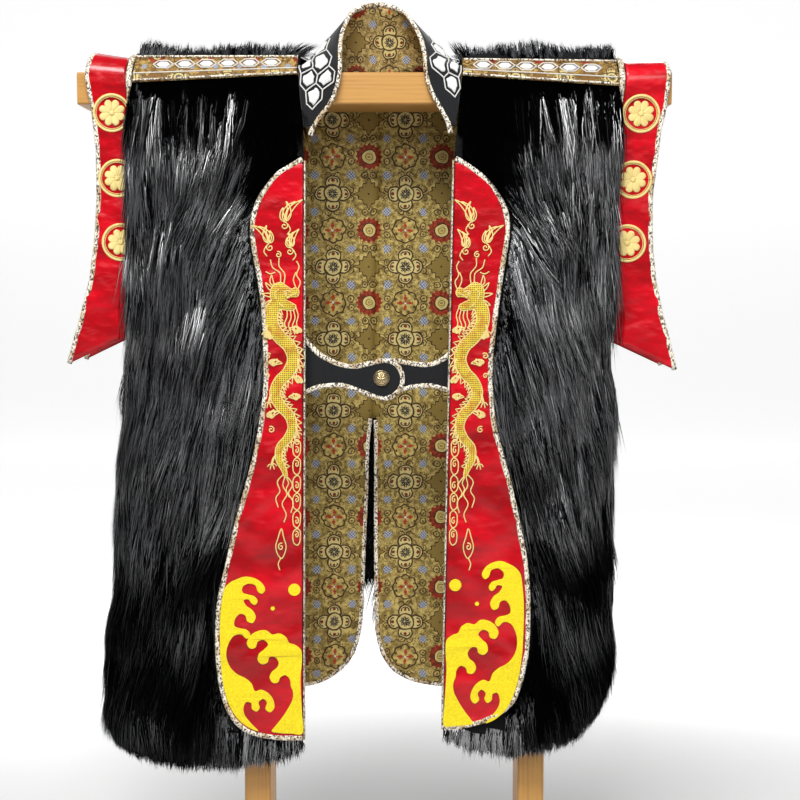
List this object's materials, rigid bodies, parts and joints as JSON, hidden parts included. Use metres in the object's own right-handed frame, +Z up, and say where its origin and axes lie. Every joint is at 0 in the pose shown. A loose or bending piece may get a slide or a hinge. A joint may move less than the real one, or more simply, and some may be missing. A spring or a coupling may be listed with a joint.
{
  "type": "surcoat on a display stand",
  "caption": "Open-fronted sleeveless fur surcoat with red leather lapels, shoulder wings, stiff raised collar and buttoned tab, hung over the crossbar of a wooden display stand.",
  "frame": {"origin": "middle of the stand's footprint, on the floor", "axes": "+X to the right seen from the front, -Y out of the coat's open front, +Z up along the stand's legs"},
  "size_m": [0.7728, 0.34, 1.2002],
  "materials": {
    "pine": "planed, unfinished",
    "fur": "long glossy pile",
    "red_leather": "glossy",
    "brocade": "woven silk with a metallic thread",
    "piping": "satin weave",
    "black_wool": "matt, felted",
    "yellow_felt": "matt, felted",
    "brass": "antique, dulled"
  },
  "bodies": {
    "root": {"stand_beam": "pine", "stand_leg_left": "pine", "stand_leg_right": "pine", "stand_foot_left": "pine", "stand_foot_right": "pine", "front_left": "fur", "front_right": "fur", "back_left": "fur", "back_right": "fur", "back_lining_left": "brocade", "back_lining_right": "brocade", "vent_piping_left": "piping", "vent_piping_right": "piping", "lapel_left": "red_leather", "lapel_right": "red_leather", "lapel_piping_left": "piping", "lapel_piping_right": "piping", "front_edge_piping_left": "piping", "front_edge_piping_right": "piping", "wave_outer_left": "yellow_felt", "wave_outer_right": "yellow_felt", "wave_inner_left": "yellow_felt", "wave_inner_right": "yellow_felt", "wave_drop_large_left": "yellow_felt", "wave_drop_large_right": "yellow_felt", "wave_drop_small_left": "yellow_felt", "wave_drop_small_right": "yellow_felt", "shoulder_strip_left": "brocade", "shoulder_strip_right": "brocade", "armhole_piping_left": "piping", "armhole_piping_right": "piping", "sleeve_left": "red_leather", "sleeve_right": "red_leather", "sleeve_piping_left": "piping", "sleeve_piping_right": "piping", "collar_outer": "black_wool", "collar_lining": "brocade", "collar_piping": "piping", "tab_left": "black_wool", "tab_right": "black_wool", "tab_piping_left": "piping", "tab_piping_right": "piping", "button": "brass"}
  },
  "joints": []
}
